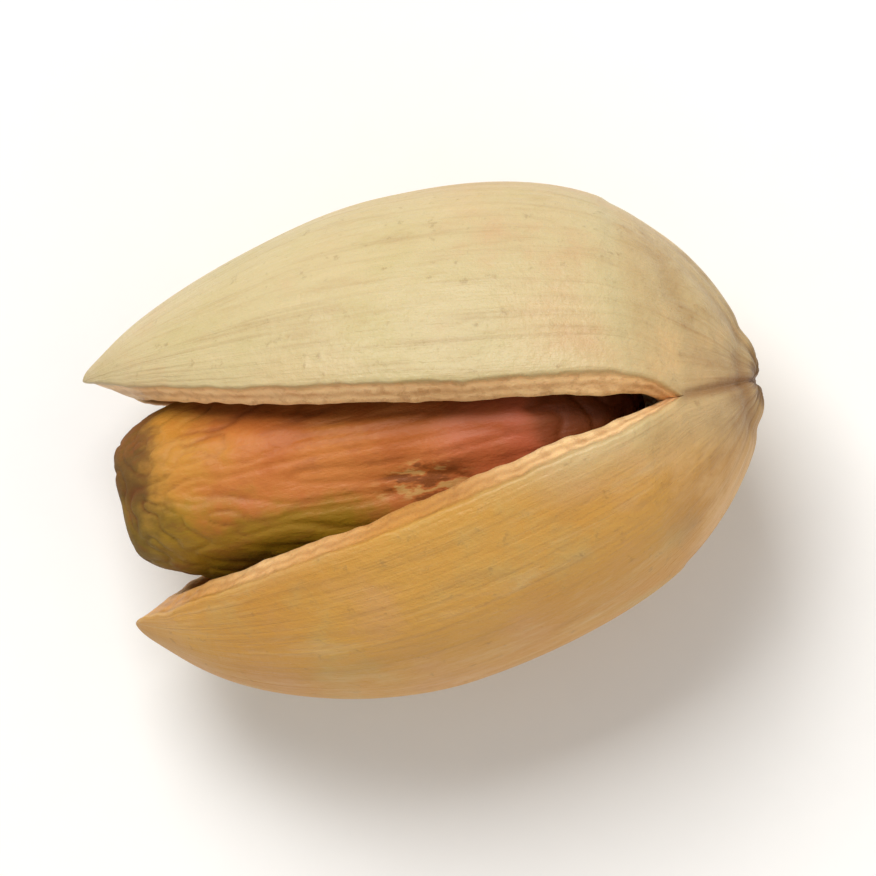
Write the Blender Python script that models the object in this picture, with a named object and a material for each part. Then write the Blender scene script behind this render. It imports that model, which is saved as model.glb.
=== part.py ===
"""A roasted pistachio lying in its split shell, with the mouth of the shell towards -X.

The shell is one piece: two halves that grew together and stay joined round the stem end,
with a split that runs from the tip up both sutures. The kernel lies loose inside.
Lengths are in metres. Work starts in the nut's own frame: X along it, from the tip at
-X to the stem end at +X, Y across the suture plane, Z from the dorsal to the ventral edge.
"""

import math

import bmesh
import bpy
from mathutils import Matrix, Vector, noise

# Closed nut
NUT_LENGTH = 0.0206
NUT_HEIGHT = 0.0124
DEEP_HALF = 0.0060
SHALLOW_HALF = 0.0057
SUTURE_TAPER = 0.08
DEEP_TAPER = 0.26
SHALLOW_TAPER = 0.07
END_SLIMNESS = 0.14
STEM_BLUNTNESS = 3.0
END_LIFT = 0.0008
TIP_NIB = 0.0005
NIB_REACH = 0.22
STEM_KNOB = 0.0004
KNOB_REACH = 0.2
VENTRAL_RIDGE = 0.00025
RIDGE_REACH = 0.0011

# Shell wall and its split
SHELL_WALL = 0.0009
END_WALL = 1.3
DEEP_LEAN = 0.0006
SHALLOW_LEAN = 0.0005
HALF_OPENING = math.radians(9.75)
DEEP_START = 0.0053
SHALLOW_START = 0.0013
START_REACH = 0.0009
FLANK_BEND = 0.0025
RIM_REACH = 0.0018
DEEP_FLARE = 0.0005
SHALLOW_FLARE = 0.0002
FLARE_SHARE = 0.3
VENTRAL_JOIN = 0.0024
VENTRAL_JOIN_HEIGHT = 0.0045
DORSAL_JOIN = 0.0064
DORSAL_JOIN_HEIGHT = -0.0055
SEAM_MERGE = 0.00003
SHELL_ROUND = 48
SHELL_ALONG = 40

# Kernel
KERNEL_LENGTH = 0.0172
KERNEL_HEIGHT = 0.0079
KERNEL_WIDTH = 0.0074
KERNEL_BLUNTNESS = 2.8
KERNEL_TIP_BLUNTNESS = 4.6
HEIGHT_TAPER = 0.13
WIDTH_TAPER = 0.29
KERNEL_FROM_STEM = 0.0030
KERNEL_ASIDE = 0.0002
KERNEL_YAW = 0.0002
KERNEL_LIFT = 0.0005
KERNEL_RIBS = 7
KERNEL_RIB_HEIGHT = 0.0001
KERNEL_RIB_TWIST = 2.5
KERNEL_ROUND = 44
KERNEL_ALONG = 32

# Uneven growth, the same for shell and kernel
WARP = 0.0003
WARP_SPAN = 0.012
WARP_PLACES = (Vector((3.1, 7.4, 1.8)), Vector((9.2, 0.6, 4.3)), Vector((5.7, 2.9, 8.4)))
SHARP_EDGE = math.radians(40)

# Lie of the nut on the ground
REST_PITCH = math.radians(-7.0)
FLAT_DEPTH = 0.0003
CUTTER_SIZE = 0.030


def clear_scene():
    for obj in list(bpy.data.objects):
        bpy.data.objects.remove(obj, do_unlink=True)


def new_collection(name):
    collection = bpy.data.collections.new(name)
    bpy.context.scene.collection.children.link(collection)
    return collection


def new_material(name, colour, roughness):
    made = bpy.data.materials.new(name)
    made.use_nodes = True
    shader = made.node_tree.nodes["Principled BSDF"]
    shader.inputs["Base Color"].default_value = (*colour, 1.0)
    shader.inputs["Roughness"].default_value = roughness
    shader.inputs["Metallic"].default_value = 0.0
    return made


def unit_ball(round_count, along_count):
    """A unit sphere whose poles lie on X, one at the tip and one at the stem end."""
    ball = bmesh.new()
    bmesh.ops.create_uvsphere(ball, u_segments=round_count, v_segments=along_count, radius=1.0)
    bmesh.ops.rotate(ball, verts=ball.verts, matrix=Matrix.Rotation(math.pi / 2, 3, "Y"))
    return ball


def fullness(along, taper):
    """How much thicker the nut is here than a plain ellipsoid: blunt at its stem end."""
    blunt = 1.0
    if 0 < along < 1:
        blunt = math.sqrt((1 - along**STEM_BLUNTNESS) / (1 - along**2))
    elif along >= 1:
        blunt = math.sqrt(STEM_BLUNTNESS / 2)
    return blunt * (1 + taper * along - END_SLIMNESS * along**2)


def closed_nut(direction, side, wall=0.0):
    """The point of the closed nut that lies in this direction of the unit sphere.

    A wall of 0 gives the outside, and any other the inside of a wall of that thickness.
    """
    along, across, up = direction
    depth, taper = (DEEP_HALF, DEEP_TAPER) if side > 0 else (SHALLOW_HALF, SHALLOW_TAPER)
    y = across * fullness(along, taper) * (depth - wall)
    z = up * fullness(along, SUTURE_TAPER) * (NUT_HEIGHT / 2 - wall)
    x = along * ((NUT_LENGTH - TIP_NIB - STEM_KNOB) / 2 - wall * END_WALL)
    z += END_LIFT * along**2
    if wall:
        return Vector((x, y, z))
    from_axis = math.hypot(across, up)
    if along < 0:
        x -= TIP_NIB * math.exp(-((from_axis / NIB_REACH) ** 2))
    else:
        x += STEM_KNOB * math.exp(-((from_axis / KNOB_REACH) ** 2))
    z += VENTRAL_RIDGE * max(up, 0.0) * math.exp(-((y / RIDGE_REACH) ** 2))
    return Vector((x, y, z))


def opening(point, side):
    """How far the split has moved its half out at this point of the closed nut.

    At the suture that is nothing behind the join line, and then a gap that gapes at once, as
    a crack does. Away from it the flank bends out over a longer way. The split runs further
    up the ventral suture, so the line leans towards the tip as it goes down.
    """
    stem_end = NUT_LENGTH / 2
    ventral = Vector((stem_end - VENTRAL_JOIN, 0.0, VENTRAL_JOIN_HEIGHT))
    dorsal = Vector((stem_end - DORSAL_JOIN, 0.0, DORSAL_JOIN_HEIGHT))
    line = (ventral - dorsal).normalized()
    towards_tip = Vector((-line.z, 0.0, line.x))
    reach = (point - dorsal).dot(towards_tip)
    start, bend = (DEEP_START, DEEP_FLARE) if side > 0 else (SHALLOW_START, SHALLOW_FLARE)
    rim = max(reach, 0.0) + start * (1 - math.exp(-max(reach, 0.0) / START_REACH))
    flank = (math.hypot(reach + start, FLANK_BEND) + reach + start) / 2
    at_rim = math.exp(-((point.y / RIM_REACH) ** 2))
    flare_start = -NUT_LENGTH * (0.5 - FLARE_SHARE)
    flare = max(flare_start - point.x, 0.0) / (NUT_LENGTH * FLARE_SHARE)
    return math.tan(HALF_OPENING) * (at_rim * rim + (1 - at_rim) * flank) + bend * flare**2


def grown_uneven(point):
    push = [noise.noise(point / WARP_SPAN + place) for place in WARP_PLACES]
    return point + WARP * Vector(push)


def place(obj, collection, parent, paint):
    collection.objects.link(obj)
    obj.parent = parent
    obj.data.materials.clear()
    obj.data.materials.append(paint)
    obj.data.shade_smooth()
    obj.data.set_sharp_from_angle(angle=SHARP_EDGE)


def split_ball(side):
    """Half of the unit sphere on this side of the suture plane."""
    half = unit_ball(SHELL_ROUND, SHELL_ALONG)
    everything = half.verts[:] + half.edges[:] + half.faces[:]
    bmesh.ops.bisect_plane(
        half, geom=everything, dist=1e-5, plane_co=(0, 0, 0), plane_no=(0, side, 0), clear_inner=True
    )
    return half


def half_surface(side, wall):
    """The outside or the inside of one half of the shell, moved out to where the split left it.

    The inside moves out less at the rim, so that the broken edge of the wall faces up a little.
    """
    half = split_ball(side)
    lean = DEEP_LEAN if side > 0 else SHALLOW_LEAN
    for vert in half.verts:
        closed = closed_nut(vert.co, side)
        moved_out = opening(closed, side)
        if wall:
            moved_out -= min(moved_out / 2, lean * math.exp(-((closed.y / RIM_REACH) ** 2)))
        on_nut = closed_nut(vert.co, side, wall)
        depth = abs(on_nut.y) + moved_out
        on_nut.y = side * depth if depth > SEAM_MERGE else 0.0
        vert.co = on_nut
    if wall:
        bmesh.ops.reverse_faces(half, faces=half.faces)
    mesh = bpy.data.meshes.new("half_surface")
    half.to_mesh(mesh)
    half.free()
    return mesh


def make_shell(collection, parent, cutter):
    """Both halves, inside and outside, joined along the suture and bridged round the split."""
    nut = bmesh.new()
    for side in (-1, 1):
        for wall in (0.0, SHELL_WALL):
            nut.from_mesh(half_surface(side, wall))
    bmesh.ops.remove_doubles(nut, verts=nut.verts, dist=SEAM_MERGE / 4)
    rims = [edge for edge in nut.edges if edge.is_boundary]
    bmesh.ops.bridge_loops(nut, edges=rims)
    bmesh.ops.recalc_face_normals(nut, faces=nut.faces)
    for vert in nut.verts:
        vert.co = grown_uneven(vert.co)
    mesh = bpy.data.meshes.new("shell")
    nut.to_mesh(mesh)
    nut.free()
    shell = bpy.data.objects.new("shell", mesh)
    place(shell, collection, parent, new_material("husk", (0.72, 0.58, 0.34), 0.5))
    flat = shell.modifiers.new("rest_flat", "BOOLEAN")
    flat.operation = "DIFFERENCE"
    flat.object = cutter
    return shell


def kernel_point(direction):
    """The kernel's outside: an ovoid with shallow ribs along it, its tip's end blunt from side to side."""
    along, across, up = direction
    radial = max(math.hypot(across, up), 1e-9)
    bluntness = KERNEL_BLUNTNESS
    if along < 0:
        bluntness += (KERNEL_TIP_BLUNTNESS - KERNEL_BLUNTNESS) * (across / radial) ** 2
    blunt = max(1 - abs(along) ** bluntness, 0.0) ** (1 / bluntness)
    wave = math.sin(KERNEL_RIBS * math.atan2(across, up) + KERNEL_RIB_TWIST * along)
    rib = 1 + 2 * KERNEL_RIB_HEIGHT / KERNEL_WIDTH * wave
    swell = blunt / radial * rib / 2
    stem_end = NUT_LENGTH / 2 - KERNEL_FROM_STEM
    return Vector(
        (
            stem_end - (1 - along) * KERNEL_LENGTH / 2,
            across * swell * KERNEL_WIDTH * (1 + WIDTH_TAPER * along) + KERNEL_ASIDE - KERNEL_YAW * along,
            up * swell * KERNEL_HEIGHT * (1 + HEIGHT_TAPER * along) + KERNEL_LIFT + END_LIFT * along**2,
        )
    )


def make_kernel(collection, parent):
    ball = unit_ball(KERNEL_ROUND, KERNEL_ALONG)
    for vert in ball.verts:
        vert.co = grown_uneven(kernel_point(vert.co))
    mesh = bpy.data.meshes.new("kernel")
    ball.to_mesh(mesh)
    ball.free()
    kernel = bpy.data.objects.new("kernel", mesh)
    place(kernel, collection, parent, new_material("seed_skin", (0.42, 0.17, 0.08), 0.6))
    return kernel


def bottom_centre(points):
    """The middle of the box round these points in X and Y, at the height of the lowest one."""
    low = [min(point[axis] for point in points) for axis in range(3)]
    high = [max(point[axis] for point in points) for axis in range(3)]
    return Vector(((low[0] + high[0]) / 2, (low[1] + high[1]) / 2, low[2]))


def make_floor_cutter(collection):
    """A block whose top lies on z = 0: what it takes off is the small flat that the nut rests on."""
    block = bmesh.new()
    bmesh.ops.create_cube(block, size=CUTTER_SIZE)
    bmesh.ops.translate(block, verts=block.verts, vec=(0, 0, -CUTTER_SIZE / 2))
    mesh = bpy.data.meshes.new("floor_cutter")
    block.to_mesh(mesh)
    block.free()
    cutter = bpy.data.objects.new("floor_cutter", mesh)
    collection.objects.link(cutter)
    cutter.hide_render = True
    cutter.display_type = "WIRE"
    return cutter


def main():
    clear_scene()
    nut = new_collection("pistachio")
    cutters = new_collection("cutters")
    lie = bpy.data.objects.new("lie", None)
    nut.objects.link(lie)
    shell = make_shell(nut, lie, make_floor_cutter(cutters))
    make_kernel(nut, lie)
    lie.rotation_euler = (0.0, REST_PITCH, 0.0)
    bpy.context.view_layer.update()
    outside = [shell.matrix_world @ vert.co for vert in shell.data.vertices]
    lie.location = Vector((0.0, 0.0, -FLAT_DEPTH)) - bottom_centre(outside)
    bpy.context.view_layer.update()


main()
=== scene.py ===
"""A roasted pistachio in its split shell, dressed for a look straight down on its mouth."""
import math

import bmesh
import bpy
from mathutils import Matrix, Vector, noise


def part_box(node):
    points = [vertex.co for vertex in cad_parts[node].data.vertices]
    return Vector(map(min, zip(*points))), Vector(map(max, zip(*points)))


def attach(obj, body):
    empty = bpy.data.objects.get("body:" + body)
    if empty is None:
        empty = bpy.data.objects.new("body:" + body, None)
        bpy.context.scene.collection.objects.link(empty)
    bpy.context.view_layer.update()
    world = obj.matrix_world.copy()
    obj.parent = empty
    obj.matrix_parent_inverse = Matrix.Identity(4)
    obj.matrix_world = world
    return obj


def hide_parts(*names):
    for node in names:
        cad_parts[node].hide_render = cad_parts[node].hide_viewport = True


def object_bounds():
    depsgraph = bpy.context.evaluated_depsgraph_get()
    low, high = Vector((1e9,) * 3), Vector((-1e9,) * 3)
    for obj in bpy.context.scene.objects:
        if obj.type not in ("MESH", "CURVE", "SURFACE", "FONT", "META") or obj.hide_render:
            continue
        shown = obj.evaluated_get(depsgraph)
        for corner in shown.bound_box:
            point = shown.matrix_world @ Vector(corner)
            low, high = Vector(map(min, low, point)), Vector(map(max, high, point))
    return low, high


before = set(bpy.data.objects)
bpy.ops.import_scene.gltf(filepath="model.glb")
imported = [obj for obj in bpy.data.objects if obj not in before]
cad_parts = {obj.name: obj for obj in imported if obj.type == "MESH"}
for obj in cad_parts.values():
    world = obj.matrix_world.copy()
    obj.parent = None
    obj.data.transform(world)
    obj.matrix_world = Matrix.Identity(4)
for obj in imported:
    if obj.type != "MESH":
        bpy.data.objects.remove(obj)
cad_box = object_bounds()

# The shell: the hard inner wall of the fruit, woody and about a millimetre thick, dried and
# bleached to cream. It grew as two halves joined along a seam, and ripening split the seam
# from the tip; the stem end still holds the halves together.
MM = 0.001
TINY = 1e-9
NUT_LENGTH = 20.6 * MM
NUT_HEIGHT = 12.4 * MM
HALF_DEPTH = {1: 6.0 * MM, -1: 5.7 * MM}
HALF_TAPER = {1: 0.26, -1: 0.07}
SEAM_TAPER = 0.08
END_SLIMNESS = 0.14
STEM_BLUNTNESS = 3.0
END_LIFT = 0.8 * MM
TIP_NIB = 0.5 * MM
NIB_REACH = 0.22
STEM_KNOB = 0.4 * MM
KNOB_REACH = 0.2
SEAM_KEEL = 0.25 * MM
KEEL_REACH = 1.1 * MM
WALL = 0.9 * MM
END_WALL = 1.3
LIE_PITCH = math.radians(-7.0)

# How the split opened it, and the slow unevenness of its growth.
HALF_OPENING = math.radians(9.75)
GAPE_START = {1: 5.3 * MM, -1: 1.3 * MM}
GAPE_REACH = 0.9 * MM
FLANK_BEND = 2.5 * MM
TIP_FLARE = {1: 0.5 * MM, -1: 0.2 * MM}
FLARE_SHARE = 0.3
SPLIT_ENDS = (Vector((7.9, 0.0, 4.5)) * MM, Vector((3.9, 0.0, -5.5)) * MM)
SPLIT_WIDTH = 0.25 * MM
SPLIT_START = (-0.2 * MM, 0.6 * MM)
GROWTH_WARP = 0.3 * MM
GROWTH_SPAN = 12 * MM
GROWTH_PLACES = (Vector((3.1, 7.4, 1.8)), Vector((9.2, 0.6, 4.3)), Vector((5.7, 2.9, 8.4)))

# Its rim: how it leans, rounds off, wanders and chips, and the grain of the broken wall.
RIM_LEAN = {1: 0.6 * MM, -1: 0.5 * MM}
RIM_ROUND = 0.15 * MM
RIM_REACH = 1.8 * MM
EDGE_REACH = 0.4 * MM
RIM_WANDER = 0.07 * MM
RIM_WANDER_SPAN = 1.4 * MM
RIM_CHIPS = 0.05 * MM
RIM_CHIP_SPAN = 0.45 * MM
RIM_CUTS = 4
RIM_GRAIN = 0.08 * MM
RIM_GRAIN_SPAN = 0.4 * MM
WALL_CROSSING = 0.4
BROKEN_WALL = (0.25, 0.75)

# The relief of its outside. A share along the nut runs from -1 at the tip to 1 at the stem.
BROAD_LUMPS = 0.08 * MM
BROAD_SPAN = 3.2 * MM
FINE_RIBS = 0.02 * MM
RIBS_ROUND = 9.0
RIBS_ALONG = 2.0
STEM_FOLDS = 0.15 * MM
STEM_REGION = (0.62, 0.93)
STEM_FOLDS_ROUND = 4.5
STEM_FOLDS_ALONG = 5.0
COLLAR_STEP = 0.05 * MM
COLLAR_PLACE = (0.655, 0.685)
COLLAR_WAVER = 0.05
COLLAR_ROUND = 1.6
COLLAR_SEED = 3.1
SEAM_LINE_WIDTH = 0.16 * MM
SEAM_LINE_DEPTH = 0.07 * MM
SEAM_LINE_END = (-0.5 * MM, 0.3 * MM)
SCAR_RADIUS = 1.0 * MM
SCAR_DEPTH = 0.16 * MM
SCAR_HOLLOW = 0.55 * SCAR_RADIUS
SCAR_RING = 1.5 * SCAR_RADIUS
SCAR_RING_WIDTH = 0.3 * SCAR_RADIUS
SCAR_RING_DEPTH = 0.4 * SCAR_DEPTH
CREASE_PLACE = Vector((8.3, 2.7, 0.0)) * MM
CREASE_SIZE = (0.35 * MM, 1.5 * MM)
CREASE_LEAN = 0.3
CREASE_DEPTH = 0.09 * MM

SHELL_ROUND = 200
SHELL_ALONG = 176
SEAM_CROWDING = 0.4
SEAM_WELD = 0.002 * MM
CUT_WELD = 1e-6


def smooth_step(low, high, value):
    share = min(max((value - low) / (high - low), 0.0), 1.0)
    return share * share * (3 - 2 * share)


def bell(distance, reach):
    return math.exp(-((distance / reach) ** 2))


def unit_ball(round_count, along_count):
    """A unit sphere with one pole at the tip and one at the stem end."""
    ball = bmesh.new()
    bmesh.ops.create_uvsphere(ball, u_segments=round_count, v_segments=along_count, radius=1.0)
    bmesh.ops.rotate(ball, verts=ball.verts, matrix=Matrix.Rotation(math.pi / 2, 3, "Y"))
    return ball


def fullness(along, taper):
    """How full the nut is at this share along it, beside a plain ellipsoid."""
    blunt = 1.0
    if 0 < along < 1:
        blunt = math.sqrt((1 - along**STEM_BLUNTNESS) / (1 - along**2))
    elif along >= 1:
        blunt = math.sqrt(STEM_BLUNTNESS / 2)
    return blunt * (1 + taper * along - END_SLIMNESS * along**2)


def closed_nut(direction, side, wall):
    """The closed nut's surface in this direction, this deep into its wall."""
    along, across, up = direction
    y = across * fullness(along, HALF_TAPER[side]) * (HALF_DEPTH[side] - wall)
    z = up * fullness(along, SEAM_TAPER) * (NUT_HEIGHT / 2 - wall) + END_LIFT * along**2
    x = along * ((NUT_LENGTH - TIP_NIB - STEM_KNOB) / 2 - wall * END_WALL)
    outer_share = max(1 - wall / WALL, 0.0)
    from_axis = math.hypot(across, up)
    if along < 0:
        x -= outer_share * TIP_NIB * bell(from_axis, NIB_REACH)
    else:
        x += outer_share * STEM_KNOB * bell(from_axis, KNOB_REACH)
    z += outer_share * SEAM_KEEL * max(up, 0.0) * bell(y, KEEL_REACH)
    return Vector((x, y, z))


def split_reach(point):
    """How far this point lies beyond the line where the split ends, towards the tip."""
    ventral, dorsal = SPLIT_ENDS
    line = (ventral - dorsal).normalized()
    return (point - dorsal).dot(Vector((-line.z, 0.0, line.x)))


def gape(point, side):
    """How far the split has moved its half out at this point of the closed nut."""
    reach = split_reach(point)
    start = GAPE_START[side]
    ahead = max(reach, 0.0)
    rim = ahead + start * (1 - math.exp(-ahead / GAPE_REACH))
    flank = (math.hypot(reach + start, FLANK_BEND) + reach + start) / 2
    at_rim = bell(point.y, RIM_REACH)
    flare_start = -NUT_LENGTH * (0.5 - FLARE_SHARE)
    flare = max(flare_start - point.x, 0.0) / (NUT_LENGTH * FLARE_SHARE)
    spread = at_rim * rim + (1 - at_rim) * flank
    return math.tan(HALF_OPENING) * spread + TIP_FLARE[side] * flare**2


def grown_uneven(point):
    push = [noise.noise(point / GROWTH_SPAN + place) for place in GROWTH_PLACES]
    return point + GROWTH_WARP * Vector(push)


def crowd_to_seam(ball):
    """Slides the rings' points towards the seam plane, where the rims need them."""
    for vert in ball.verts:
        along, across, up = vert.co
        radius = math.hypot(across, up)
        angle = math.atan2(across, up)
        angle -= SEAM_CROWDING * math.sin(2 * angle)
        vert.co = Vector((along, radius * math.sin(angle), radius * math.cos(angle)))


def ring_noise(around, pace, third):
    """Noise from -1 to 1 that closes on itself round the nut, so the halves meet in it."""
    return noise.noise(Vector((*(pace * around), third)))


def outside_relief(point, direction, reach):
    """How deep the outside dips: lumps, ribs, collar, stem folds, seam line, scar and crease."""
    along, across, up = direction
    around = Vector((up, across)) / max(math.hypot(up, across), TINY)
    lumps = BROAD_LUMPS * (0.5 + 0.5 * noise.noise(point / BROAD_SPAN + GROWTH_PLACES[1]))
    ribs = FINE_RIBS * (0.5 + 0.5 * ring_noise(around, RIBS_ROUND, RIBS_ALONG * along))
    by_stem = smooth_step(*STEM_REGION, along)
    fold = 0.5 + 0.5 * ring_noise(around, STEM_FOLDS_ROUND, STEM_FOLDS_ALONG * along)
    folds = STEM_FOLDS * by_stem * fold
    collar_edge = along + COLLAR_WAVER * ring_noise(around, COLLAR_ROUND, COLLAR_SEED)
    collar = COLLAR_STEP * smooth_step(*COLLAR_PLACE, collar_edge)
    closed = 1 - smooth_step(*SEAM_LINE_END, reach)
    seam_line = SEAM_LINE_DEPTH * closed * bell(point.y, SEAM_LINE_WIDTH)
    from_stem = math.hypot(point.y, point.z - END_LIFT) if along > 0 else 1.0
    scar = SCAR_DEPTH * bell(from_stem, SCAR_HOLLOW)
    scar += SCAR_RING_DEPTH * bell(from_stem - SCAR_RING, SCAR_RING_WIDTH)
    away = point - CREASE_PLACE
    crease = CREASE_DEPTH * bell(away.x + CREASE_LEAN * away.y, CREASE_SIZE[0])
    crease *= bell(away.y, CREASE_SIZE[1])
    return lumps + ribs + folds + collar + seam_line + scar + (crease if up > 0 else 0.0)


def half_surface(side, inner):
    """One half's outside or inside, with its edge rounded and moved out as the split left it.

    With the outside come the points of the same half without rounding or relief.
    """
    half = unit_ball(SHELL_ROUND, SHELL_ALONG)
    crowd_to_seam(half)
    bmesh.ops.bisect_plane(
        half,
        geom=half.verts[:] + half.edges[:] + half.faces[:],
        dist=CUT_WELD,
        plane_co=(0, 0, 0),
        plane_no=(0, side, 0),
        clear_inner=True,
    )
    depth_layer = half.verts.layers.float.new("wall_depth")
    seam_layer = half.verts.layers.float.new("from_seam")
    along_layer = half.verts.layers.float.new("along_nut")
    reach_layer = half.verts.layers.float.new("split_reach")
    dip_layer = half.verts.layers.float.new("dip_depth")
    around_layer = half.verts.layers.float_vector.new("around_nut")
    plain_points = []
    for vert in half.verts:
        direction = vert.co.copy()
        surface = closed_nut(direction, side, 0.0)
        reach = split_reach(surface)
        moved_out = gape(surface, side)
        split = smooth_step(0.0, SPLIT_WIDTH, moved_out) * smooth_step(*SPLIT_START, reach)
        edge = min(abs(surface.y) / RIM_ROUND, 1.0)
        rounding = split * RIM_ROUND * (1 - math.sqrt(1 - (1 - edge) ** 2))
        if inner:
            dip = 0.0
            wall = WALL - rounding
            moved_out -= min(moved_out / 2, RIM_LEAN[side] * bell(surface.y, RIM_REACH))
        else:
            dip = outside_relief(surface, direction, reach)
            wall = rounding
            plain_points.append(surface + Vector((0.0, side * moved_out, 0.0)))
        on_nut = closed_nut(direction, side, wall + dip)
        at_edge = split * bell(surface.y, EDGE_REACH)
        wander = noise.noise(on_nut / RIM_WANDER_SPAN + side * GROWTH_PLACES[0])
        chips = noise.noise(on_nut / RIM_CHIP_SPAN + side * GROWTH_PLACES[1])
        moved_out += RIM_WANDER * at_edge * wander
        moved_out += RIM_CHIPS * at_edge * chips
        depth = abs(on_nut.y) + max(moved_out, 0.0)
        on_nut.y = side * depth if depth > SEAM_WELD else 0.0
        vert.co = on_nut
        vert[depth_layer] = wall / WALL
        vert[seam_layer] = abs(surface.y) / MM
        vert[along_layer] = direction.x
        vert[reach_layer] = reach / MM
        vert[dip_layer] = dip / MM
        from_axis = max(math.hypot(direction.y, direction.z), TINY)
        vert[around_layer] = (direction.x, direction.y / from_axis, direction.z / from_axis)
    if inner:
        bmesh.ops.reverse_faces(half, faces=half.faces)
    return half, plain_points


def add_mesh(target, source):
    """Moves the source's mesh into the target's."""
    holder = bpy.data.meshes.new("holder")
    source.to_mesh(holder)
    source.free()
    target.from_mesh(holder)
    bpy.data.meshes.remove(holder)


def finished_piece(name, source):
    mesh = bpy.data.meshes.new(name)
    source.to_mesh(mesh)
    source.free()
    mesh.shade_smooth()
    piece = bpy.data.objects.new(name, mesh)
    bpy.context.scene.collection.objects.link(piece)
    return piece


plain_surface = []
shell = bmesh.new()
for side in (-1, 1):
    for inner in (False, True):
        half, plain_points = half_surface(side, inner)
        add_mesh(shell, half)
        plain_surface += plain_points
bmesh.ops.remove_doubles(shell, verts=shell.verts, dist=SEAM_WELD / 4)
bmesh.ops.bridge_loops(shell, edges=[edge for edge in shell.edges if edge.is_boundary])
depth_layer = shell.verts.layers.float["wall_depth"]
across_wall = []
for edge in shell.edges:
    one_end, other_end = edge.verts
    if abs(one_end[depth_layer] - other_end[depth_layer]) > WALL_CROSSING:
        across_wall.append(edge)
bmesh.ops.subdivide_edges(shell, edges=across_wall, cuts=RIM_CUTS, use_grid_fill=True)
for vert in shell.verts:
    if BROKEN_WALL[0] < vert[depth_layer] < BROKEN_WALL[1]:
        vert.co.y += RIM_GRAIN * noise.noise(vert.co / RIM_GRAIN_SPAN)
bmesh.ops.recalc_face_normals(shell, faces=shell.faces)

# It lies pitched on the ground, where the two flats under its halves are cut off at z = 0.
lie = Matrix.Rotation(LIE_PITCH, 4, "Y")
for vert in shell.verts:
    vert.co = lie @ grown_uneven(vert.co)
plain_surface = [lie @ grown_uneven(point) for point in plain_surface]
shell_low, shell_high = (Vector(corner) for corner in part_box("shell"))
low = Vector([min(point[axis] for point in plain_surface) for axis in range(3)])
high = Vector([max(point[axis] for point in plain_surface) for axis in range(3)])
to_ground = (shell_low + shell_high - low - high) / 2
to_ground.z = shell_high.z - high.z
for vert in shell.verts:
    vert.co += to_ground
    vert.co.z = max(vert.co.z, 0.0)
shell_piece = finished_piece("split_shell", shell)


class Wire:
    """A socket in a material, so that its shader maths can be written as expressions."""

    def __init__(self, tree, socket=None):
        self.tree = tree
        self.socket = socket

    def node(self, kind, settings, values, output=0):
        """A new node's output, after its settings and its inputs' links or values are set."""
        made = self.tree.nodes.new(kind)
        for name, value in settings.items():
            setattr(made, name, value)
        for name, value in values.items():
            if isinstance(value, Wire):
                self.tree.links.new(value.socket, made.inputs[name])
            else:
                made.inputs[name].default_value = value
        return Wire(self.tree, made.outputs[output])

    def maths(self, operation, *terms):
        return self.node("ShaderNodeMath", {"operation": operation}, dict(enumerate(terms)))

    def __add__(self, other):
        return self.maths("ADD", self, other)

    def __sub__(self, other):
        return self.maths("SUBTRACT", self, other)

    def __rsub__(self, other):
        return self.maths("SUBTRACT", other, self)

    def __mul__(self, other):
        return self.maths("MULTIPLY", self, other)

    __radd__ = __add__
    __rmul__ = __mul__


def band(value, low, high):
    """0 below low and 1 above high, with a smooth change between them."""
    settings = {"interpolation_type": "SMOOTHSTEP"}
    return value.node("ShaderNodeMapRange", settings, {0: value, 1: low, 2: high})


def tint(share, under, over):
    """The colour under, changing to the colour over as the share goes from 0 to 1."""
    tinted = {0: share, 6: under, 7: over}
    return share.node("ShaderNodeMix", {"data_type": "RGBA"}, tinted, output=2)


def grain(start, place, scale, detail=3.0, rough=0.5, bend=0.0):
    values = {
        "Vector": place,
        "Scale": scale,
        "Detail": detail,
        "Roughness": rough,
        "Distortion": bend,
    }
    return start.node("ShaderNodeTexNoise", {}, values)


def stretched(start, place, scales):
    return start.node("ShaderNodeMapping", {}, {"Vector": place, "Scale": scales})


def object_place(start):
    return start.node("ShaderNodeTexCoord", {}, {}, output=3)


def attribute(start, name, output=2):
    return start.node("ShaderNodeAttribute", {"attribute_name": name}, {}, output)


def rgb(red, green, blue):
    """A colour as the screen shows it, made linear for the shader."""
    linear = [((part / 255 + 0.055) / 1.055) ** 2.4 for part in (red, green, blue)]
    return (*linear, 1.0)


def new_finish(name):
    finish = bpy.data.materials.new(name)
    finish.use_nodes = True
    shader = finish.node_tree.nodes["Principled BSDF"]
    return finish, shader, Wire(finish.node_tree)


def feed(shader, name, wire):
    wire.tree.links.new(wire.socket, shader.inputs[name])


def feed_relief(shader, relief, strength, distance):
    values = {"Strength": strength, "Distance": distance, "Height": relief}
    feed(shader, "Normal", relief.node("ShaderNodeBump", {}, values))


def let_light_in(shader, share, spread):
    """Lets this share of the light into the piece, red, green and blue spreading this far."""
    shader.inputs["Subsurface Weight"].default_value = share
    shader.inputs["Subsurface Radius"].default_value = spread
    shader.inputs["Subsurface Scale"].default_value = 1.0


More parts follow.
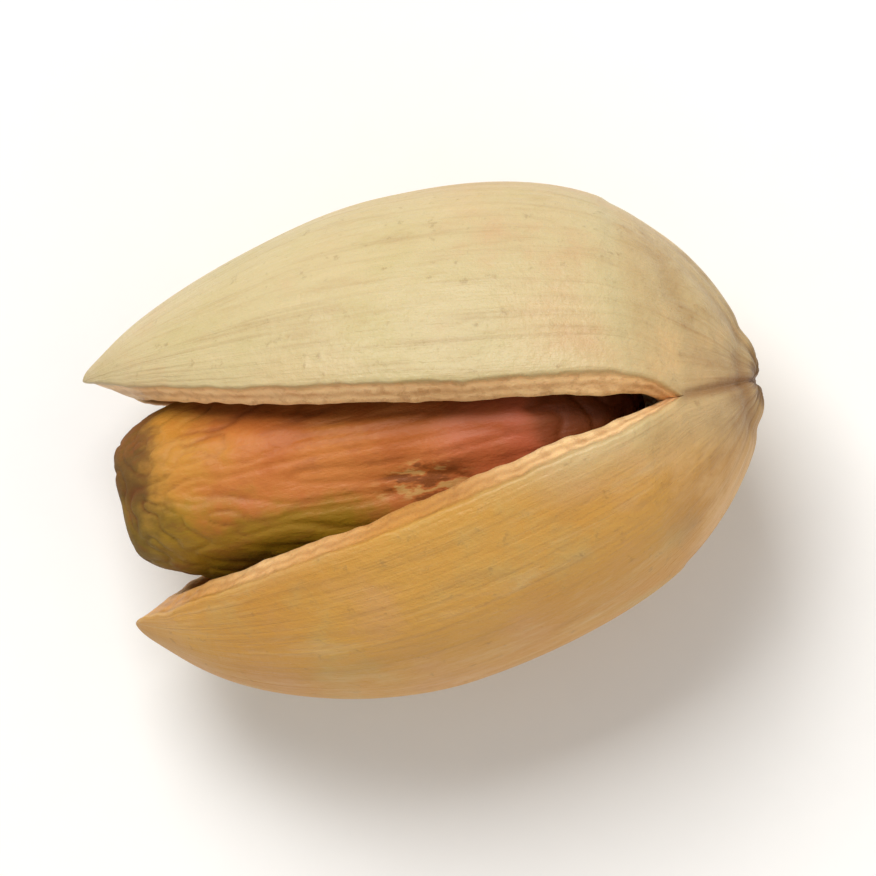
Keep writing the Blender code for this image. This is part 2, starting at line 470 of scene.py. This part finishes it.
PALE = (rgb(202, 183, 135), rgb(205, 174, 124))
# The lower half's darker ochre is partly a real tan and partly painted shade and warm bounce
# light.
TAN_AND_PAINTED_SHADE = (rgb(203, 151, 66), rgb(196, 138, 52))
GREENISH = rgb(190, 174, 112)
PEACH = rgb(204, 154, 110)
DARK_STREAK = rgb(166, 122, 68)
LIGHT_STREAK = rgb(226, 204, 158)
VEIN = rgb(152, 112, 62)
SPECK = rgb(132, 94, 54)
COLLAR = rgb(186, 138, 80)
STEM_LIGHT = rgb(232, 194, 134)
STEM_DARK = rgb(154, 108, 54)
PAINTED_HOLLOW_SHADE = rgb(146, 102, 54)
STEM_STAIN = rgb(146, 98, 50)
SCAR = rgb(112, 76, 40)
CLOSED_SEAM = rgb(140, 96, 48)
# The broken wall's pale colour is partly its own and partly painted light that it catches; its
# darker ochre on the lower half is partly a real tan and partly painted shade.
RIM_PALE_AND_PAINTED_LIGHT = rgb(254, 214, 158)
RIM_TAN_AND_PAINTED_SHADE = rgb(206, 148, 74)
RIM_STREAK = rgb(184, 128, 68)
MID_WALL = rgb(172, 120, 66)
RIM_SPECK = rgb(164, 110, 58)
INSIDE = rgb(196, 156, 100)

husk, husk_shader, start = new_finish("dried_husk")
place = object_place(start)
depth = attribute(start, "wall_depth")
from_seam = attribute(start, "from_seam")
along = attribute(start, "along_nut")
reach = attribute(start, "split_reach")
dip = attribute(start, "dip_depth")
around = attribute(start, "around_nut", output=1)

blotches = grain(start, place, 300, detail=5.0, rough=0.6)
broad = grain(start, place, 130, detail=2.0)
long_way = stretched(start, around, (3.0, 9.0, 9.0))
streaks = grain(start, long_way, 1.0, detail=6.0, rough=0.65, bend=0.4)
long_thin_way = stretched(start, around, (1.6, 24.0, 24.0))
veins = grain(start, long_thin_way, 1.0, detail=4.0, rough=0.6)
pits = grain(start, place, 2400, detail=4.0, rough=0.65)

# The half on the picture's lower side is darker ochre, most of all on top: partly a real tan and
# partly painted shade and warm bounce light, strongest where the view from above sees it.
across = start.node("ShaderNodeSeparateXYZ", {}, {"Vector": place}, output=1)
height = start.node("ShaderNodeSeparateXYZ", {}, {"Vector": place}, output=2)
uneven = 0.006 * (broad - 0.5)
tan_and_shade_on_top = 0.4 + 0.6 * band(height + uneven, 0.002, 0.0065)
tan_and_shade_side = band(across + uneven, -0.0007, -0.0033) * tan_and_shade_on_top
pale = tint(band(broad, 0.35, 0.65), *PALE)
tan_and_shade_colour = tint(band(broad, 0.35, 0.65), *TAN_AND_PAINTED_SHADE)
colour = tint(tan_and_shade_side, pale, tan_and_shade_colour)

colour = tint(0.4 * band(blotches, 0.5, 0.72), colour, GREENISH)
colour = tint(0.45 * band(1 - blotches, 0.5, 0.74), colour, PEACH)
colour = tint(0.32 * band(streaks, 0.5, 0.76), colour, DARK_STREAK)
colour = tint(0.25 * band(1 - streaks, 0.5, 0.76), colour, LIGHT_STREAK)
colour = tint(0.25 * band(veins, 0.52, 0.74), colour, VEIN)
colour = tint(0.35 * band(pits, 0.6, 0.74), colour, SPECK)

# The collar, the mottled stem end, its scar and the seam where it is still closed.
collar_share = band(along + 0.1 * broad, 0.71, 0.78)
colour = tint(0.25 * collar_share, colour, COLLAR)
stem_share = band(along + 0.2 * broad, 0.66, 0.95)
colour = tint(0.45 * (stem_share * band(1 - blotches, 0.48, 0.64)), colour, STEM_LIGHT)
colour = tint(0.5 * (stem_share * band(blotches, 0.48, 0.66)), colour, STEM_DARK)
# Painted shade: darker where the outside's relief dips deepest, as in the stem folds, scar and
# crease.
colour = tint(0.55 * band(dip, 0.15, 0.32), colour, PAINTED_HOLLOW_SHADE)
stain_share = band(along + 0.3 * streaks, 1.06, 1.2)
colour = tint(0.5 * stain_share, colour, STEM_STAIN)
scar_share = band(along + 0.012 * streaks, 0.994, 1.003)
colour = tint(0.75 * scar_share, colour, SCAR)
closed_seam = (1 - band(from_seam, 0.05, 0.35)) * (1 - band(reach, -0.2, 0.5))
colour = tint(0.5 * closed_seam, colour, CLOSED_SEAM)

# The broken wall, with a line along its middle, and the inside.
# The upper half's wall is painted paler with painted light over its own paler colour, and the
# lower half's wall darker with painted shade over a real tan.
rim = tint(tan_and_shade_side, RIM_PALE_AND_PAINTED_LIGHT, RIM_TAN_AND_PAINTED_SHADE)
rim = tint(0.4 * band(streaks, 0.46, 0.68), rim, RIM_STREAK)
mid_wall = band(depth, 0.35, 0.5) * (1 - band(depth, 0.5, 0.68))
rim = tint(0.4 * mid_wall, rim, MID_WALL)
rim = tint(0.35 * band(pits, 0.48, 0.66), rim, RIM_SPECK)
colour = tint(band(depth, 0.1, 0.3), colour, rim)
colour = tint(band(depth, 0.82, 0.98), colour, INSIDE)
feed(husk_shader, "Base Color", colour)
feed(husk_shader, "Roughness", 0.36 + 0.25 * streaks)
outside = 1 - 0.75 * band(depth, 0.1, 0.3)
relief = outside * (0.3 * streaks + 0.7 * veins + 0.5 * blotches) + 0.8 * pits
feed_relief(husk_shader, relief, strength=0.6, distance=0.14 * MM)
let_light_in(husk_shader, 0.12, (0.0012, 0.0007, 0.0003))
shell_piece.data.materials.append(husk)
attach(shell_piece, "root")
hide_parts("shell")

# The kernel: the seed itself, two firm seed leaves pressed together under a thin papery skin
# that wrinkles as it dries. It lies loose in the shell, with its blunt end in the mouth, and
# its green shows where the skin is thin.
KERNEL_LENGTH = 17.2 * MM
KERNEL_HEIGHT = 7.9 * MM
KERNEL_WIDTH = 7.4 * MM
KERNEL_BLUNTNESS = 2.8
KERNEL_TIP_BLUNTNESS = 4.6
HEIGHT_TAPER = 0.13
WIDTH_TAPER = 0.29
KERNEL_FROM_STEM = 3.0 * MM
KERNEL_ASIDE = 0.2 * MM
KERNEL_YAW = 0.2 * MM
KERNEL_LIFT = 0.5 * MM
KERNEL_RIBS = 7
KERNEL_RIB_HEIGHT = 0.1 * MM
KERNEL_RIB_TWIST = 2.5
KERNEL_RIB_FADE = 6
KERNEL_ROUND = 240
KERNEL_ALONG = 200
WRINKLES = 0.16 * MM
WRINKLES_ROUND = 3.6
WRINKLES_ALONG = 2.2
FOLDS = 0.07 * MM
FOLDS_ROUND = 7.5
FOLDS_ALONG = 1.7
FOLD_WIDTH = 0.35
BUMP_PLACE = Vector((0.2, -0.05))
BUMP_SIZE = Vector((0.09, 0.12))
BUMP_HEIGHT = 0.16 * MM
BASE_SINK = 0.7 * MM
BASE_REGION = (0.45, 0.95)


def kernel_dip(direction):
    """How deep the skin has sunk: soft wrinkles along the seed, finer folds, less one bump."""
    along, across, up = direction
    wrinkle_place = (WRINKLES_ROUND * up, WRINKLES_ROUND * across, WRINKLES_ALONG * along)
    wrinkles = 0.5 + 0.5 * noise.noise(Vector(wrinkle_place) + GROWTH_PLACES[0])
    fold_place = (FOLDS_ROUND * up, FOLDS_ROUND * across, FOLDS_ALONG * along)
    from_fold = abs(noise.noise(Vector(fold_place) + GROWTH_PLACES[2]))
    fold = 1 - min(from_fold / FOLD_WIDTH, 1.0)
    bump = bell(along - BUMP_PLACE.x, BUMP_SIZE.x) * bell(across - BUMP_PLACE.y, BUMP_SIZE.y)
    raised = BUMP_HEIGHT * bump if up > 0 else 0.0
    base = BASE_SINK * smooth_step(*BASE_REGION, along)
    return WRINKLES * wrinkles + FOLDS * fold**2 + base - raised


def kernel_point(direction):
    """The kernel's skin in this direction, before the nut is laid down."""
    along, across, up = direction
    radial = max(math.hypot(across, up), TINY)
    bluntness = KERNEL_BLUNTNESS
    if along < 0:
        bluntness += (KERNEL_TIP_BLUNTNESS - KERNEL_BLUNTNESS) * (across / radial) ** 2
    blunt = max(1 - abs(along) ** bluntness, 0.0) ** (1 / bluntness)
    wave = math.sin(KERNEL_RIBS * math.atan2(across, up) + KERNEL_RIB_TWIST * along)
    rib = 1 + 2 * KERNEL_RIB_HEIGHT / KERNEL_WIDTH * wave * (1 - along**KERNEL_RIB_FADE)
    swell = blunt / radial * rib / 2
    sunk = 1 - 2 * kernel_dip(direction) / KERNEL_WIDTH
    middle = NUT_LENGTH / 2 - KERNEL_FROM_STEM - KERNEL_LENGTH / 2
    width = KERNEL_WIDTH * (1 + WIDTH_TAPER * along)
    height = KERNEL_HEIGHT * (1 + HEIGHT_TAPER * along)
    return Vector(
        (
            middle + along * KERNEL_LENGTH / 2 * (0.5 + 0.5 * sunk),
            across * swell * width * sunk + KERNEL_ASIDE - KERNEL_YAW * along,
            up * swell * height * sunk + KERNEL_LIFT + END_LIFT * along**2,
        )
    )


kernel = unit_ball(KERNEL_ROUND, KERNEL_ALONG)
along_layer = kernel.verts.layers.float.new("along_kernel")
side_layer = kernel.verts.layers.float.new("side_kernel")
dip_layer = kernel.verts.layers.float.new("skin_dip")
for vert in kernel.verts:
    direction = vert.co.copy()
    vert[along_layer] = direction.x
    vert[side_layer] = direction.y
    vert[dip_layer] = min(kernel_dip(direction) / (WRINKLES + FOLDS), 1.0)
    vert.co = lie @ grown_uneven(kernel_point(direction)) + to_ground
kernel_piece = finished_piece("wrinkled_kernel", kernel)

SKIN = (rgb(182, 100, 40), rgb(196, 120, 54))
SKIN_RED = rgb(184, 86, 58)
SKIN_YELLOW = rgb(196, 140, 50)
SKIN_GREEN = rgb(146, 112, 12)
DARK_TIP_END_AND_SHADE = (rgb(112, 88, 26), rgb(90, 62, 20))
SKIN_BASE_AND_PAINTED_SHADE = rgb(146, 72, 22)
PAINTED_WRINKLE_SHADE = rgb(118, 56, 20)
FIBRE = rgb(146, 78, 36)
TORN_LIGHT = rgb(206, 160, 92)
TORN_DARK = rgb(124, 66, 22)
TORN_ALONG = 0.12
TORN_ASIDE = 0.22

skin, skin_shader, start = new_finish("seed_skin")
place = object_place(start)
along = attribute(start, "along_kernel")
side = attribute(start, "side_kernel")
dip = attribute(start, "skin_dip")

blotches = grain(start, place, 420, detail=4.0, rough=0.6)
fibre_way = stretched(start, place, (500, 1500, 1500))
fibres = grain(start, fibre_way, 1.0, detail=5.0, rough=0.65)
scratch_way = stretched(start, place, (1100, 3200, 3200))
scratches = grain(start, scratch_way, 1.0, detail=3.0, rough=0.6)
papery = grain(start, place, 2200, detail=4.0, rough=0.65)

# Redder towards the stem, yellow towards the mouth, green on one side and dark at both ends: the
# tip end in the mouth is dark olive, the green showing through with painted shade on it, and the
# base end dark brown, partly its own colour and partly painted shade.
colour = tint(band(blotches, 0.35, 0.65), *SKIN)
colour = tint(0.75 * band(along + 0.8 * blotches, 0.35, 0.9), colour, SKIN_RED)
colour = tint(0.85 * band(0.6 * blotches - along, 0.85, 1.15), colour, SKIN_YELLOW)
green_share = band(0.9 * blotches - 0.85 * side - 0.4 * along, 0.72, 1.0)
colour = tint(0.9 * green_share, colour, SKIN_GREEN)
# Painted shade: the tip end in the shell's mouth is darkened where it turns down out of the
# light.
tip_end_shade_share = band(0.35 * blotches + 0.25 * fibres - along, 1.05, 1.25)
tip_end_shade_colour = tint(band(blotches, 0.4, 0.6), *DARK_TIP_END_AND_SHADE)
colour = tint(0.9 * tip_end_shade_share, colour, tip_end_shade_colour)
# The dark brown base end is partly the seed's real darker base and partly painted shade deep in
# the shell.
base_shade_share = band(along + 0.3 * blotches, 0.62, 0.86)
colour = tint(0.85 * base_shade_share, colour, SKIN_BASE_AND_PAINTED_SHADE)
# Painted shade: the skin darker in its wrinkles and folds and where its base sinks.
colour = tint(0.6 * band(dip, 0.5, 0.95), colour, PAINTED_WRINKLE_SHADE)
colour = tint(0.35 * band(fibres, 0.5, 0.7), colour, FIBRE)

# One patch where the skin is torn and flakes.
torn_along = along - TORN_ALONG
torn_side = side + TORN_ASIDE
from_patch = 0.35 * blotches - 2.6 * (torn_along * torn_along) - 3.0 * (torn_side * torn_side)
torn = band(from_patch, 0.06, 0.14)
colour = tint(0.8 * (torn * band(scratches, 0.5, 0.58)), colour, TORN_LIGHT)
colour = tint(0.8 * (torn * band(1 - scratches, 0.5, 0.6)), colour, TORN_DARK)
feed(skin_shader, "Base Color", colour)
feed(skin_shader, "Roughness", 0.4 + 0.25 * fibres + 0.3 * tip_end_shade_share)
relief = fibres + 0.5 * blotches + 0.4 * papery
feed_relief(skin_shader, relief, strength=0.5, distance=0.15 * MM)
skin_shader.inputs["Specular IOR Level"].default_value = 0.35
let_light_in(skin_shader, 0.1, (0.0012, 0.0005, 0.0002))
kernel_piece.data.materials.append(skin)
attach(kernel_piece, "root")
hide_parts("kernel")

# The ground: a sheet of smooth white board, wide enough for every view, with a faint tooth
# that hardly shows.
GROUND_SIZE = 1.2
BOARD = ((0.92, 0.92, 0.915, 1.0), (0.94, 0.94, 0.935, 1.0))
ground = bmesh.new()
bmesh.ops.create_grid(ground, x_segments=1, y_segments=1, size=GROUND_SIZE / 2)
ground_piece = finished_piece("ground", ground)
board, board_shader, start = new_finish("white_board")
tooth = grain(start, object_place(start), 900)
feed(board_shader, "Base Color", tint(tooth, *BOARD))
board_shader.inputs["Roughness"].default_value = 0.8
ground_piece.data.materials.append(board)

# The light: one broad soft lamp from the picture's upper left, a weak warm one from its lower
# side, and pale light all round.
LAMP_DISTANCE = 0.45
SKY_STRENGTH = 0.42


def lamp(name, direction, size, power, colour):
    """A square lamp that faces the nut from this direction."""
    data = bpy.data.lights.new(name, "AREA")
    data.size = size
    data.energy = power
    data.color = colour
    made = bpy.data.objects.new(name, data)
    made.location = Vector(direction).normalized() * LAMP_DISTANCE
    made.rotation_euler = Vector(direction).to_track_quat("Z", "Y").to_euler()
    bpy.context.scene.collection.objects.link(made)


lamp("window", (-0.16, 0.7, 1.05), size=0.22, power=1.7, colour=(1.0, 0.99, 0.97))
lamp("far_side", (0.45, -1.0, 0.55), size=0.4, power=0.5, colour=(1.0, 0.82, 0.58))
world = bpy.data.worlds.new("pale_room")
bpy.context.scene.world = world
world.use_nodes = True
sky = world.node_tree.nodes["Background"]
sky.inputs["Color"].default_value = (1.0, 1.0, 1.0, 1.0)
sky.inputs["Strength"].default_value = SKY_STRENGTH
bpy.context.scene.view_settings.view_transform = "Standard"

# The camera: straight above the nut, turned so that the nut lies as the photographed one does,
# and close enough for it to fill about three quarters of the frame.
NUT_TURN = math.radians(11.75)
CAMERA_HEIGHT = 0.5
FRAME_WIDTH = 0.0265
SENSOR_WIDTH = 36
camera_data = bpy.data.cameras.new("overhead")
camera_data.sensor_width = SENSOR_WIDTH
camera_data.lens = SENSOR_WIDTH * (CAMERA_HEIGHT - cad_box[1][2] / 2) / FRAME_WIDTH
camera_data.clip_start = 0.01
camera_data.clip_end = 10
camera = bpy.data.objects.new("overhead", camera_data)
camera.location = (0.0, 0.0, CAMERA_HEIGHT)
camera.rotation_euler = (0.0, 0.0, -NUT_TURN)
bpy.context.scene.collection.objects.link(camera)
bpy.context.scene.camera = camera
